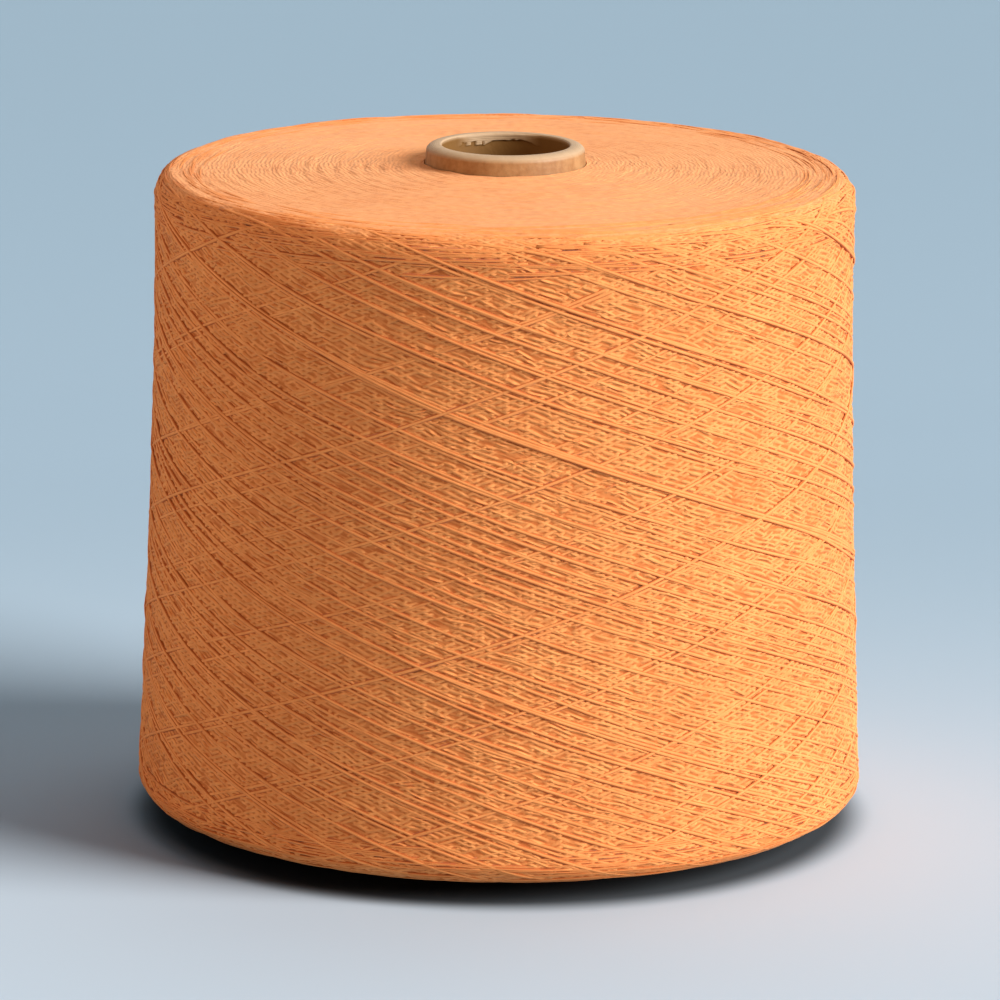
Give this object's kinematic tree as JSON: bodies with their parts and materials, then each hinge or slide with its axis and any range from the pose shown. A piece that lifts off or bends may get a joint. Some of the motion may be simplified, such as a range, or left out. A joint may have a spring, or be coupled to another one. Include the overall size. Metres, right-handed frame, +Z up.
{
  "type": "cone of yarn on a paper cone",
  "caption": "Cross-wound package of orange knitting yarn with rounded ends on a tapered, hollow kraft paper cone, standing on its wide end.",
  "frame": {"origin": "on the surface that the cone stands on, under the cone's axis", "axes": "+Z up along the cone's axis, from its wide base to its nose; -Y is the side that the picture shows"},
  "size_m": [0.1826, 0.1826, 0.1699],
  "materials": {
    "yarn": "matte spun yarn, fine crossing strands with a soft fuzz",
    "kraft_paper": "matte wound kraft board, burnished at the nose rim"
  },
  "bodies": {
    "root": {"wound_yarn": "yarn", "paper_cone": "kraft_paper"}
  },
  "joints": []
}
